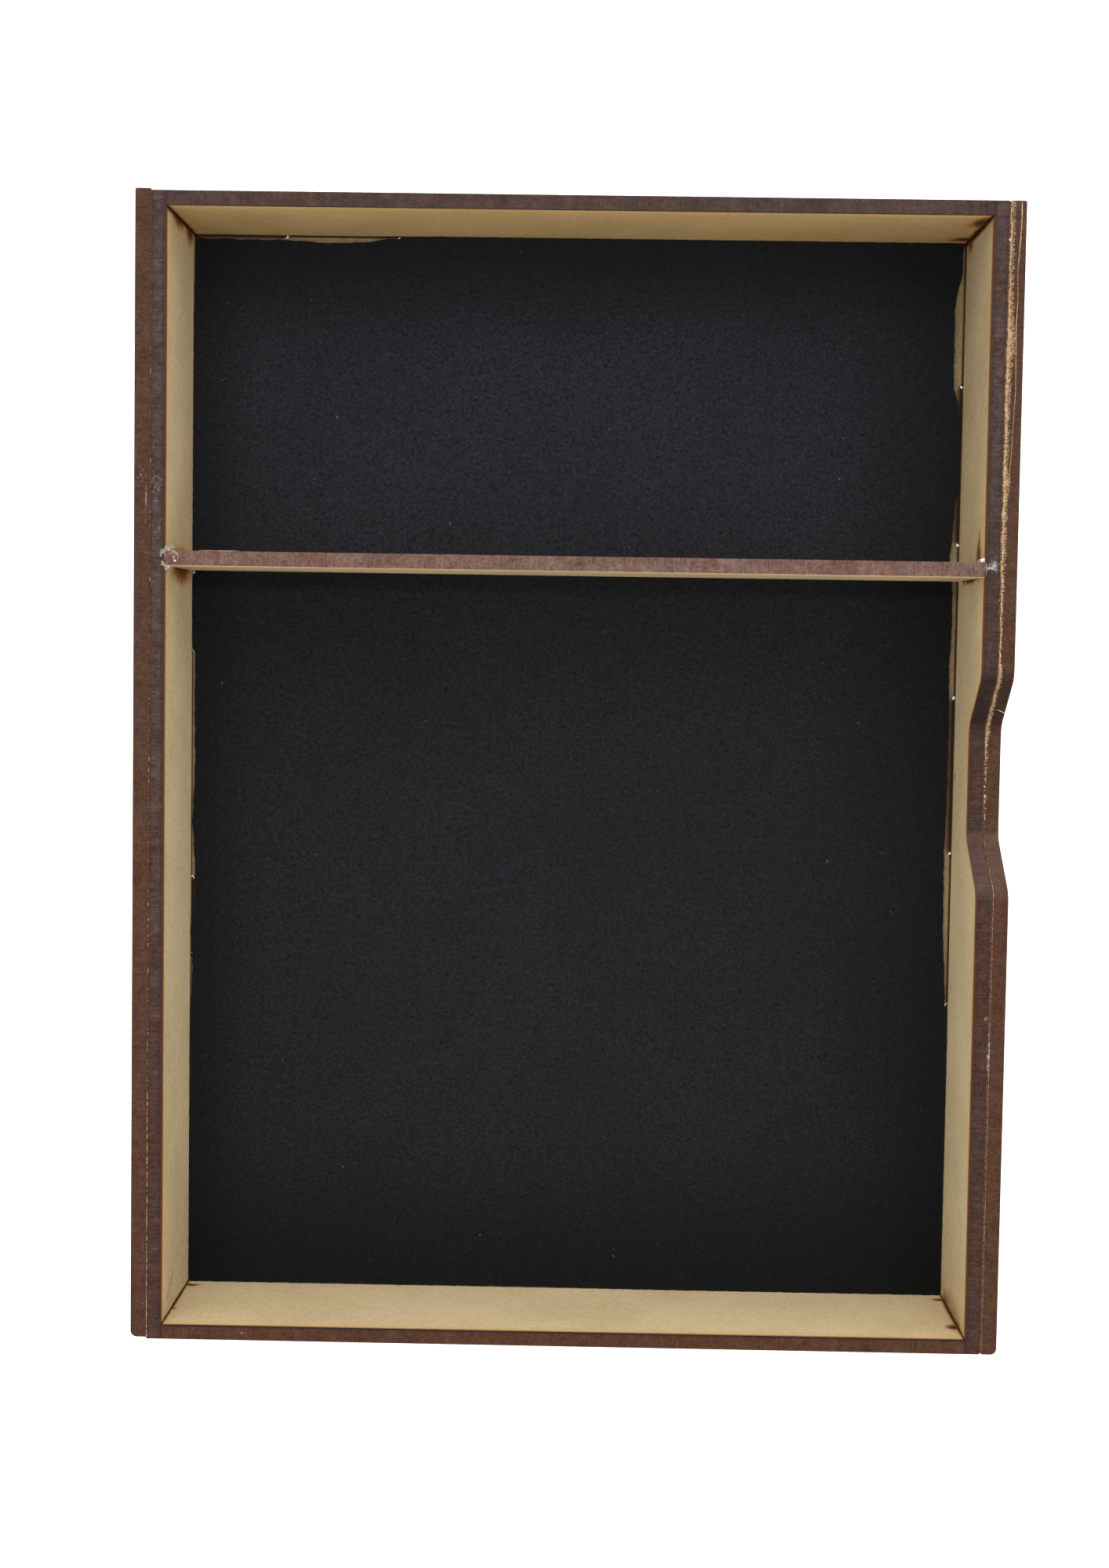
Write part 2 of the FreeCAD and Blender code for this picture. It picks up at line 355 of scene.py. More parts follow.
def board_finish(
    node, across, face, cut, arris, line=(0.9, 0.85 * MM), stains=(), notched=False, ash_and_sheen=None, rear_painted_shade=0.0,
    corners=None,
):
    """A material for one board.

    across is the axis through its thickness; face is (pale, deep); cut is (char, rust, ash, bloom,
    streak); arris is (colour, width) along the face that looks into the tray; line is the strength
    and the width of the scorched line; ash_and_sheen is (front, rear, least): it keeps the ash to the middle of the
    edge and lessens the grey toward the front, the rearward grey being partly painted sheen; rear_painted_shade
    darkens the face toward the rear as painted shade.
    corners is (axis, low, high, low width, high width), where the neighbouring boards stand: a burnt
    line follows them, 1 being a width of about a millimetre.
    """
    low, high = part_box(node)
    centre = (low + high) / 2
    half = (high - low) / 2
    inner = high[across] if centre[across] < 0 else low[across]
    half[across] = 1.0
    material, g, surface = new_material(node.replace("_", " "))
    p = g.place()
    normal = g.parts(g.node("ShaderNodeTexCoord").outputs["Normal"])[across]
    is_face = g.math("GREATER_THAN", g.math("ABSOLUTE", normal), 0.6)
    wander = g.math("SUBTRACT", g.noise(p, 330, 3, 0.65), 0.5)

    raw = g.use(board_tree, Pale=face[0], Deep=face[1])
    depth = g.use(border_tree, Centre=centre, Half=half)["Distance"]
    if notched:
        depth = g.math("MINIMUM", depth, g.use(notch_tree)["Depth"])
    depth = g.math("MULTIPLY_ADD", wander, 0.35 * MM, depth)
    colour = g.mix(g.math("MULTIPLY", g.ramp(depth, 2.4 * MM + 2 * line[1], 0.2 * MM), 0.62), raw["Color"], honey)
    colour = g.mix(g.math("MULTIPLY", g.ramp(depth, line[1], 0.3 * line[1]), line[0]), colour, scorch)
    y = g.parts(p)[1]
    for middle, reach, strength in stains:
        wandering = g.math("MULTIPLY", wander, 0.7)
        mask = g.use(smoke_tree, Centre=middle, Reach=reach, Wander=wandering)["Mask"]
        colour = g.mix(g.math("MULTIPLY", g.ramp(mask, 0.0, 0.4), strength * 0.7), colour, amber)
        colour = g.mix(g.math("MULTIPLY", g.ramp(mask, 0.3, 0.75), strength * 0.9), colour, scorch)
        colour = g.mix(g.math("MULTIPLY", g.ramp(mask, 0.65, 1.0), strength * 0.8), colour, soot)
    if corners:
        along, low_end, high_end, low_width, high_width = corners
        from_low = g.math("DIVIDE", g.math("SUBTRACT", g.parts(p)[along], low_end), low_width)
        from_high = g.math("DIVIDE", g.math("SUBTRACT", high_end, g.parts(p)[along]), high_width)
        from_corner = g.math("MULTIPLY_ADD", wander, 0.9 * MM, g.math("MINIMUM", from_low, from_high))
        facing_in = g.math("GREATER_THAN", g.math("MULTIPLY", normal, -1.0 if centre[across] > 0 else 1.0), 0.6)
        share = g.math("MULTIPLY", g.ramp(from_corner, 1.1 * MM, 0.4 * MM), 0.65)
        colour = g.mix(g.math("MULTIPLY", share, facing_in), colour, scorch)
        share = g.math("MULTIPLY", g.ramp(from_corner, 0.6 * MM, 0.2 * MM), 0.85)
        colour = g.mix(g.math("MULTIPLY", share, facing_in), colour, soot)
    # Painted shade: the face is darkened toward the rear, where it gets less light.
    if rear_painted_shade:
        rearward = g.math("MULTIPLY", g.ramp(y, 20 * MM, 100 * MM), rear_painted_shade)
        colour = g.mix(rearward, colour, (0.0, 0.0, 0.0, 1.0))

    from_inner = g.math("ABSOLUTE", g.math("SUBTRACT", g.parts(p)[across], inner))
    bloom = cut[3]
    # The ash keeps to the middle of the edge; its growth toward the rear is partly painted sheen.
    if ash_and_sheen:
        band = g.math("MULTIPLY", g.ramp(from_inner, 0.4 * MM, 1.2 * MM), g.ramp(from_inner, 2.95 * MM, 2.3 * MM))
        rearward = g.math("MULTIPLY_ADD", g.ramp(y, ash_and_sheen[0], ash_and_sheen[1]), 1 - ash_and_sheen[2], ash_and_sheen[2])
        bloom = g.math("MULTIPLY", g.math("MULTIPLY", band, rearward), cut[3])
    if notched:
        flank_from, flank_to = notch_centre + hollow_start, notch_centre + round_end
        rear_flank = g.math("MULTIPLY", g.ramp(y, flank_from, flank_from + 3 * MM), g.ramp(y, flank_to, flank_to - 3 * MM))
        flank_from, flank_to = notch_centre - hollow_start, notch_centre - round_end
        front_flank = g.math("MULTIPLY", g.ramp(y, flank_from, flank_from - 2 * MM), g.ramp(y, flank_to, flank_to + 4 * MM))
        bloom = g.math("MULTIPLY", bloom, g.math("SUBTRACT", 1.0, rear_flank))
        bloom = g.math("MULTIPLY_ADD", front_flank, 0.4, bloom)
    along_beam = [1.0, 1.0, 1.0]
    along_beam[across] = 0.08
    # Partly painted sheen: the char turns greyer toward the rear and redder toward the front.
    warmth = g.ramp(y, tray_rear, tray_front)
    own = {"Char": cut[0], "Rust": cut[1], "Ash": cut[2], "Bloom": bloom, "Streak": cut[4]}
    burnt = g.use(char_tree, Warmth=warmth, Beam_squeeze=along_beam, **own)
    from_inner = g.math("MULTIPLY_ADD", wander, arris[1] * 0.8, from_inner)
    arris_colour = arris[0]
    if corners:
        beyond = g.math("MAXIMUM", g.ramp(y, rear_face - 0.5 * MM, rear_face), g.ramp(y, front_face + 0.5 * MM, front_face))
        arris_colour = g.mix(beyond, arris[0], srgb(30, 20, 17))
    charred = g.mix(g.math("MULTIPLY", g.ramp(from_inner, arris[1], 0.2 * arris[1]), 0.85), burnt["Color"], arris_colour)
    if notched:
        charred = g.mix(g.math("MULTIPLY", rear_flank, 0.35), charred, (0.0, 0.0, 0.0, 1.0))
        charred = g.mix(g.math("MULTIPLY", front_flank, 0.2), charred, srgb(112, 84, 72))

    g.feed(surface.inputs["Base Color"], g.mix(is_face, charred, colour))
    g.feed(surface.inputs["Roughness"], g.math("MULTIPLY_ADD", is_face, 0.12, 0.66))
    surface.inputs["Specular IOR Level"].default_value = 0.15
    g.bump(surface, g.mix(is_face, burnt["Height"], raw["Height"]), 0.07 * MM)
    return material


# %% [markdown]
# Where the stains are: the slots in the side boards begin and end at a quarter of the height from the
# rim and from the floor, and the smoke came out there, at the tray's four corners and at the divider.
# Each corner has one tall narrow stain for the burnt joint itself, and wider ones at the slot's ends.

# %% Finishes of the boards
top_step = rim - corner_finger
low_step = corner_finger
middle = (top_step + low_step) / 2
half_step = (top_step - low_step) / 2


def stain(x, y, z, reach_x, reach_y, reach_z, strength):
    """A stain round a point, its reaches in millimetres."""
    return (x, y, z), (reach_x * MM, reach_y * MM, reach_z * MM), strength


left_stains = [
    stain(left_face, rear_face, middle, 3, 1.3, 24, 1.0),
    stain(left_face, rear_face, middle + 4 * MM, 3, 3.4, 12, 0.8),
    stain(left_face, rear_face, low_step, 3, 4.6, 8, 0.9),
    stain(left_face, divider_front, middle, 3, 1.8, 12, 1.0),
    stain(left_face, divider_front - 0.5 * MM, middle - MM, 3, 4, 19, 0.75),
    stain(left_face, divider_rear, middle, 3, 2.6, 14, 0.3),
    stain(left_face, front_face, middle, 3, 0.8, 24, 0.6),
]
right_stains = [
    stain(right_face, rear_face, middle, 3, 1.4, 24, 1.0),
    stain(right_face, rear_face, low_step - MM, 3, 4.5, 5, 0.9),
    stain(right_face, divider_rear + 2 * MM, top_step + 1.2 * MM, 3, 8, 1.3, 0.95),
    stain(right_face, divider_rear + MM, top_step + MM, 3, 6, 5.5, 0.6),
    stain(right_face, divider_front, middle, 3, 1.4, 12, 1.0),
    stain(right_face, divider_front, low_step + 1.5 * MM, 3, 2.2, 3, 0.6),
    stain(right_face, front_face, middle, 3, 1.2, 24, 0.6),
    stain(right_face, front_face, top_step + MM, 3, 2, 5, 0.5),
    stain(right_face, front_face, low_step + MM, 3, 3.4, 6, 0.5),
    # Painted shade: a broad faint darkening over the front right corner.
    stain(right_face, front_face, middle, 3, 7, 26, 0.25),
    stain(right_face, notch_centre, 4.6 * MM, 3, 1.6, 1.1, 0.6),
    stain(right_face, notch_centre - 1.5 * MM, edge_height(0) + 10.5 * MM, 3, 3.4, 0.7, 0.7),
]
rear_stains = [
    stain(right_face, rear_face, middle, 1.4, 3, 24, 1.0),
    stain(right_face - 0.4 * MM, rear_face, top_step + MM, 4.6, 3, 10, 0.9),
    stain(right_face, rear_face, low_step - 0.8 * MM, 7.5, 3, 4.5, 1.0),
    stain(left_face, rear_face, middle, 1.1, 3, 24, 1.0),
]
front_stains = [
    stain(left_face, front_face, middle, 0.8, 3, 24, 0.6),
    stain(left_face + MM, front_face, low_step - 2.3 * MM, 3, 3, 1.5, 0.9),
    stain(left_face, front_face, top_step - 2.5 * MM, 1.8, 3, 1.2, 0.9),
    stain(right_face, front_face, middle, 1.0, 3, 24, 0.7),
    stain(right_face - 0.8 * MM, front_face, top_step + 0.5 * MM, 2.6, 3, 3, 0.9),
    stain(right_face - 0.8 * MM, front_face, low_step - 1.6 * MM, 3, 3, 1.7, 0.9),
]

tan_side = (srgb(207, 188, 150), srgb(170, 149, 110))
# The rear board's tan is a darker, yellower copy of the same fibreboard: partly its own tone, partly painted shade of
# its inner face, which looks away from the rear lamp.
tan_rear_shaded = (srgb(185, 158, 110), srgb(158, 130, 84))
tan_front = (srgb(208, 188, 150), srgb(179, 156, 116))
tan_divider = (srgb(200, 181, 143), srgb(170, 147, 110))
tan_outer = (srgb(196, 172, 132), srgb(158, 132, 92))
grey_cut = (srgb(50, 35, 29), srgb(55, 30, 19), srgb(73, 60, 57), 0.55, 0.5)
brown_cut = (srgb(57, 35, 23), srgb(63, 34, 17), srgb(74, 53, 40), 0.35, 0.25)
rear_cut = (srgb(50, 34, 29), srgb(56, 31, 21), srgb(75, 58, 52), 0.35, 0.2)
light_cut = (srgb(83, 59, 51), srgb(88, 54, 42), srgb(110, 90, 82), 0.4, 0.25)
rust_arris = (srgb(66, 34, 18), 0.4 * MM)
orange_arris = (srgb(98, 54, 27), 0.7 * MM)
dark_arris = (srgb(60, 34, 18), 0.35 * MM)
cream_arris = (srgb(180, 150, 110), 0.12 * MM)

along_sides = (1, front_face, rear_face, 0.45, 1.0)
wide_line = (0.85, 1.6 * MM)
finishes = {
    "left_side_board": board_finish(
        "left_side_board", 0, tan_side, grey_cut, rust_arris, wide_line, left_stains,
        ash_and_sheen=(-100 * MM, 20 * MM, 0.55), corners=along_sides
    ),
    "right_side_board": board_finish(
        "right_side_board", 0, tan_side, grey_cut, rust_arris, wide_line, right_stains, True,
        (20 * MM, 80 * MM, 0.3), 0.17, along_sides
    ),
    "left_facing_board": board_finish("left_facing_board", 0, tan_outer, brown_cut, dark_arris),
    "right_facing_board": board_finish("right_facing_board", 0, tan_outer, brown_cut, dark_arris, notched=True),
    "rear_end_board": board_finish(
        "rear_end_board", 1, tan_rear_shaded, rear_cut, dark_arris, (0.3, 0.85 * MM), rear_stains, corners=(0, left_face, right_face, 0.7, 1.0)
    ),
    "front_end_board": board_finish(
        "front_end_board", 1, tan_front, brown_cut, orange_arris, (0.6, 0.9 * MM), front_stains, corners=(0, left_face, right_face, 0.4, 0.5)
    ),
    "divider_board": board_finish("divider_board", 1, tan_divider, light_cut, cream_arris, (0.0, 0.85 * MM)),
}
for name, material in finishes.items():
    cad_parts[name].data.materials.clear()
    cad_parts[name].data.materials.append(material)
print("boards finished:", len(finishes))

# %% [markdown]
# The floor shows in a narrow strip where the felt was cut short. Its tan is darker than the walls',
# partly painted shade of that strip. Its own fingers alternate with the walls' tabs: beside a tab the
# strip is burnt dark, beside a finger only a thin line is, and both are partly painted shade of the gap
# at the wall's foot. A cosine of the place along the joint has the right sign on each stretch, so it
# switches between two widths.
# The left wall's four tabs are uneven, so ramps mark them instead. Underneath, the floor's own fingers
# reach the outer faces, so there the burnt line lies a board's thickness further out.

# %% Floor finish
finger_count = 7
end_pitch = (right_seam[0] - left_seam[1]) / finger_count
side_pitch = (tray_rear - tray_front) / finger_count
end_shift = -2.0 * MM
tray_middle = (tray_front + tray_rear) / 2
material, g, surface = new_material("floor board")
p = g.place()
x, y, z = g.parts(p)
wander = g.math("SUBTRACT", g.noise(p, 500, 4, 0.7), 0.5)
# The floor's tan is darker than the walls' fibreboard: partly painted shade of the narrow strip at the walls' feet.
raw = g.use(board_tree, Pale=srgb(143, 125, 94), Deep=srgb(102, 86, 60))
end_wave = g.math("COSINE", g.math("MULTIPLY", g.math("SUBTRACT", x, end_shift), math.pi / end_pitch))
side_wave = g.math("COSINE", g.math("MULTIPLY", g.math("SUBTRACT", y, tray_middle), math.pi / side_pitch))
from_middle = g.math("ABSOLUTE", g.math("SUBTRACT", y, tray_middle))
left_tab = g.math("MULTIPLY", g.ramp(from_middle, 24.3 * MM, 24.7 * MM), g.ramp(from_middle, 40.9 * MM, 40.5 * MM))
left_tab = g.math("MAXIMUM", left_tab, g.ramp(from_middle, 96.9 * MM, 97.3 * MM))
from_end = g.math("MINIMUM", g.math("SUBTRACT", rear_face, y), g.math("SUBTRACT", y, front_face))
from_right, from_left = g.math("SUBTRACT", right_face, x), g.math("SUBTRACT", x, left_face)
end_tab, right_tab = g.ramp(end_wave, 0.1, -0.1), g.ramp(side_wave, -0.1, 0.1)
normal_z = g.parts(g.node("ShaderNodeTexCoord").outputs["Normal"])[2]
underneath = g.math("MULTIPLY", g.math("LESS_THAN", normal_z, -0.6), 3 * MM)
colour = raw["Color"]
for away, tab, wide, thin in (
    (from_end, end_tab, 0.6 * MM, 0.36 * MM),
    (from_right, right_tab, 1.0 * MM, 0.36 * MM),
    (from_left, left_tab, 1.0 * MM, 0.16 * MM),
):
    away = g.math("MULTIPLY_ADD", g.math("SUBTRACT", 1.0, tab), underneath, away)
    away = g.math("DIVIDE", away, g.math("MULTIPLY_ADD", tab, wide - thin, thin))
    away = g.math("MULTIPLY_ADD", wander, 0.7, away)
    # Burnt bands, partly painted shade of the gap at the wall's foot: brown, then near-black at the wall.
    share = g.ramp(away, 1.9, 0.9)
    colour = g.mix(g.math("MULTIPLY", share, 0.85), colour, srgb(70, 37, 15))
    share = g.ramp(away, 1.1, 0.45)
    colour = g.mix(g.math("MULTIPLY", share, 0.9), colour, srgb(20, 11, 6))
own = {"Char": brown_cut[0], "Rust": brown_cut[1], "Ash": brown_cut[2], "Bloom": 0.35, "Streak": 0.3}
burnt = g.use(char_tree, Warmth=0.4, Beam_squeeze=(1, 1, 0.08), **own)
is_face = g.math("GREATER_THAN", g.math("ABSOLUTE", normal_z), 0.6)
g.feed(surface.inputs["Base Color"], g.mix(is_face, burnt["Color"], colour))
surface.inputs["Roughness"].default_value = 0.75
surface.inputs["Specular IOR Level"].default_value = 0.15
g.bump(surface, raw["Height"], 0.07 * MM)
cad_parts["floor_board"].data.materials.clear()
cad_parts["floor_board"].data.materials.append(material)
print("floor finished")

# %% [markdown]
# ## Shapes from arrays
#
# Four small builders serve all the soft pieces. The first turns arrays of points and faces into an
# object. The second makes fibres: each is a thin three-sided rod with two pointed ends, bent a little
# sideways. The third raises a low ridge between two lines, and the fourth makes low round drops. All
# fibres or drops of a piece are one array, so thousands take no longer to write than one.

# %% Builders
FIBRE_RINGS = 3


def mesh_object(name, points, faces, material, shade=None):
    """A new object from an array of points and lists of faces, riding on the tray."""
    mesh = bpy.data.meshes.new(name)
    mesh.from_pydata(points.reshape(-1, 3).tolist(), [], faces)
    if shade is not None:
        mesh.attributes.new("shade", "FLOAT", "POINT").data.foreach_set("value", shade.ravel())
    mesh.materials.append(material)
    mesh.update()
    made = bpy.data.objects.new(name, mesh)
    bpy.context.scene.collection.objects.link(made)
    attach(made, "root")
    return made


def fibres(name, middles, headings, lengths, widths, material, bend=0.2, shade=None):
    """Many thin bent rods with pointed ends.

    Along a rod t runs from 0 to 1: the spine is middle + length (t - 1/2) heading + bend length
    4 t (1 - t) side, and the radius is the half width times sqrt(4 t (1 - t)), which closes both ends.
    """
    count = len(middles)
    headings = headings / np.linalg.norm(headings, axis=1, keepdims=True)
    up = np.tile([0.0, 0.0, 1.0], (count, 1))
    side = np.cross(up, headings)
    side /= np.maximum(np.linalg.norm(side, axis=1, keepdims=True), 1e-9)
    up = np.cross(headings, side)
    bends = bend * lengths * rng.uniform(-1, 1, count)
    t = np.array([0.0] + [(k + 1) / (FIBRE_RINGS + 1) for k in range(FIBRE_RINGS)] + [1.0])
    hump = 4 * t * (1 - t)
    spine = middles[:, None] + (lengths[:, None] * (t - 0.5))[..., None] * headings[:, None]
    spine = spine + (bends[:, None] * hump)[..., None] * side[:, None]
    turn = np.arange(3) * 2 * np.pi / 3
    ring = np.cos(turn)[:, None] * side[:, None] + np.sin(turn)[:, None] * up[:, None]
    radius = widths[:, None] / 2 * np.sqrt(hump[1:-1])
    rings = spine[:, 1:-1, None] + radius[..., None, None] * ring[:, None]
    points = np.concatenate([spine[:, :1], rings.reshape(count, -1, 3), spine[:, -1:]], 1)
    last = 3 * FIBRE_RINGS + 1
    ends = [[0, 1 + (k + 1) % 3, 1 + k] for k in range(3)]
    ends += [[last, last - 3 + k, last - 3 + (k + 1) % 3] for k in range(3)]
    sides = [
        [1 + 3 * r + k, 1 + 3 * r + (k + 1) % 3, 4 + 3 * r + (k + 1) % 3, 4 + 3 * r + k]
        for r in range(FIBRE_RINGS - 1)
        for k in range(3)
    ]
    first = np.arange(count)[:, None, None] * (last + 1)
    faces = (first + np.array(ends)).reshape(-1, 3).tolist()
    faces += (first + np.array(sides)).reshape(-1, 4).tolist()
    shade = rng.random(count) if shade is None else shade
    return mesh_object(name, points, faces, material, np.repeat(shade, last + 1))


ridge = np.array([0.0, 0.06, 0.3, 0.7, 0.94, 1.0])


def low_ridge(name, first, second, edge, proud, material):
    """A low ridge between two lines of points.

    Across the ridge s runs from 0 to 1: the place is first + s (second - first), and z = edge + proud
    sqrt(4 s (1 - s)). Two more points below close the section, and both ends are capped.
    """
    s = ridge[None, :, None]
    flat = first[:, None] + s * (second - first)[:, None]
    z = edge[:, None] + proud[:, None] * np.sqrt(4 * ridge * (1 - ridge)) - 0.02 * MM
    flat = np.concatenate([flat, second[:, None], first[:, None]], 1)
    z = np.concatenate([z, z[:, -1:] - 0.2 * MM, z[:, :1] - 0.2 * MM], 1)
    points = np.concatenate([flat, z[..., None]], -1)
    count, size = z.shape
    a = np.arange(count - 1)[:, None] * size + np.arange(size)
    b = np.arange(count - 1)[:, None] * size + (np.arange(size) + 1) % size
    faces = np.stack([a, b, b + size, a + size], -1).reshape(-1, 4).tolist()
    faces.append(list(range(size))[::-1])
    faces.append([(count - 1) * size + k for k in range(size)])
    return mesh_object(name, points, faces, material)


def low_drops(name, centres, radii, heights, material):
    """Low round drops with a slightly oval outline.

    r runs from 0 to 1 and a round the drop: x = centre + R r cos a, y = centre + R r sin a, with
    R = radius (1 + 0.2 cos(2 a + turn)), and z = centre + height (1 - r^2). A last ring closes the foot.
    """
    count, segments = len(centres), 9
    a = np.arange(segments) * 2 * np.pi / segments
    r = np.array([0.4, 0.75, 1.0, 1.0])
    lift = np.array([0.84, 0.44, 0.0, -0.3])
    outline = radii[:, None] * (1 + 0.2 * np.cos(2 * a + rng.uniform(0, 6, count)[:, None]))
    flat = r[None, :, None] * outline[:, None]
    points = np.stack([flat * np.cos(a), flat * np.sin(a), np.broadcast_to(lift[:, None], flat.shape[1:]) + 0 * flat], -1)
    points[..., 2] *= heights[:, None, None]
    points = centres[:, None, None] + points
    top = centres + heights[:, None] * np.array([0.0, 0.0, 1.0])
    points = np.concatenate([top[:, None], points.reshape(count, -1, 3)], 1)
    after = (np.arange(segments) + 1) % segments
    fan = np.stack([np.zeros(segments, int), 1 + np.arange(segments), 1 + after], 1)
    band = np.stack([1 + np.arange(segments), 1 + segments + np.arange(segments), 1 + segments + after, 1 + after], 1)
    first = np.arange(count)[:, None, None] * (1 + 4 * segments)
    faces = (first + fan).reshape(-1, 3).tolist()
    for k in range(3):
        faces += (first + band + k * segments).reshape(-1, 4).tolist()
    foot = (3 * segments + 1 + np.arange(segments))[::-1]
    faces += (first[:, 0] + foot).tolist()
    return mesh_object(name, points, faces, material)


def ragged(along, size):
    """Random values from 0 to 1, one at each knot a size apart, and straight lines between them."""
    knots = np.arange(along.min() - size, along.max() + 2 * size, size)
    return np.interp(along, knots, rng.random(len(knots)))


def fibre_material(name, dark, light, roughness=0.85, sheen=0.0):
    """A finish for fibres: each one has its own shade between two colours, and a fine mottle."""
    material, g, surface = new_material(name)
    shade = g.node("ShaderNodeAttribute", attribute_name="shade").outputs["Fac"]
    mottle = g.math("SUBTRACT", g.noise(g.place(), 3000, 2), 0.5)
    g.feed(surface.inputs["Base Color"], g.mix(g.math("ADD", shade, mottle, clamp=True), dark, light))
    surface.inputs["Roughness"].default_value = roughness
    surface.inputs["Sheen Weight"].default_value = sheen
    return material


# %% [markdown]
# ## The felt
#
# The felt was cut by hand a little smaller than each compartment, so its outline wanders. It could be
# modelled by draping a cloth, but this is one flat sheet glued down, so it is a grid: u runs across
# the tray and v along it, and its four edges are curves that the grid is stretched between. A gentle
# sum of waves lifts the surface, and Solidify gives it its thickness.

# %% Felt grid
felt_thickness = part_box("front_felt")[1].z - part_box("front_felt")[0].z
felt_top = floor_top + felt_thickness
felt_step = 0.8 * MM


def waves(points, sizes):
    """A gentle uneven lift: for each size, sin(x + sin y) sin(y + sin x) with its own turn."""
    total = np.zeros(points.shape[:-1])
    for turn, size in enumerate(sizes):
        x, y = points[..., 0] / size + turn, points[..., 1] / size - 2 * turn
        total += np.sin(x + 1.3 * np.sin(0.7 * y)) * np.sin(0.9 * y + 1.1 * np.sin(0.8 * x))
    return total / len(sizes)


def edge_curve(base, side, places, gaps):
    """An edge of the felt: the wall at base, moved in by gaps that are given at places along it."""
    places = np.array(places) * MM
    gaps = np.array(gaps) * MM
    return lambda along: base + side * (
        np.interp(along, places, gaps)
        + 0.05 * MM * np.sin(along / (0.9 * MM))
        + 0.05 * MM * np.sin(along / (0.37 * MM) + 1)
    )


rear_edges = [
    edge_curve(left_face, 1, (45, 95, 99, 104, 112), (0.05, 0.05, 0.15, 0.45, 0.5)),
    edge_curve(
        right_face,
        -1,
        (44, 47, 51, 57, 60, 75, 79, 82, 98, 101, 103, 105, 112),
        (2.2, 2.0, 1.6, 1.3, 0.75, 0.65, 1.3, 2.2, 2.3, 2.0, 1.45, 0.95, 0.75),
    ),
    edge_curve(divider_rear, 1, (-81, 81), (0.05, 0.05)),
    edge_curve(
        rear_face, -1, (-81, -74, -72, -62, -56, -53, -45, -41, -30), (1.0, 1.0, 1.15, 1.15, 1.5, 1.7, 1.4, 0.7, 0.1)
    ),
]
front_edges = [
    edge_curve(
        left_face,
        1,
        (-55, -47, -40, -36, -31, -22, -12, -4, 2, 5, 14, 23.4, 24, 30, 38, 40.3, 41.3),
        (0.1, 0.5, 0.5, 0.1, 0.95, 1.0, 0.4, 0.75, 0.9, 0.75, 0.7, 0.8, 0.3, 0.1, 0.05, 0.5, 0.55),
    ),
    edge_curve(
        right_face,
        -1,
        (-55, -50, -47, -42, -35, -17, -4, 12, 23, 30, 36, 40),
        (0.2, 0.7, 0.85, 1.05, 1.5, 1.75, 1.4, 1.35, 1.65, 1.3, 1.3, 1.5),
    ),
    edge_curve(front_face, 1, (-81, 0, 20, 55, 81), (0.15, 0.3, 0.05, 0.05, 0.05)),
    edge_curve(divider_front, -1, (-81, 81), (0.05, 0.05)),
]


def felt_sheet(name, edges, material):
    """A sheet between its left, right, front and rear edge curves.

    At (u, v) the point is x = left + u (right - left) and y = front + v (rear - front), each edge taken
    at that place. z is the felt's top plus a few hundredths of a millimetre of waves.
    """
    left, right, front, rear = edges
    across = round((right_face - left_face) / felt_step)
    along = round(float(rear(0) - front(0)) / felt_step)
    u, v = np.meshgrid(np.linspace(0, 1, across), np.linspace(0, 1, along))
    x = left_face + u * (right_face - left_face)
    y = front(x) + v * (rear(x) - front(x))
    x = left(y) + u * (right(y) - left(y))
    flat = np.stack([x, y], -1)
    z = felt_top + 0.03 * MM * waves(flat, (4 * MM, 1.3 * MM))
    index = np.arange(across * along).reshape(along, across)
    quads = np.stack([index[:-1, :-1], index[:-1, 1:], index[1:, 1:], index[1:, :-1]], -1)
    points = np.concatenate([flat, z[..., None]], -1)
    sheet = mesh_object(name, points, quads.reshape(-1, 4).tolist(), material)
    thick = sheet.modifiers.new("thickness", "SOLIDIFY")
    thick.thickness = felt_thickness * 0.97
    thick.offset = -1
    return sheet


# %% [markdown]
# Needle felt is black wool and polyester pressed into a mat. From above it is nearly black with a
# mottled nap, curling strands and a few pale specks. Its colour comes from noise at two sizes, the
# second drawn into strands by distortion. Toward the four walls it is painted darker, a painted shade
# of the walls, and each wall has its own reach and strength. Sheen stands for the nap that catches
# light.

# %% Felt finish


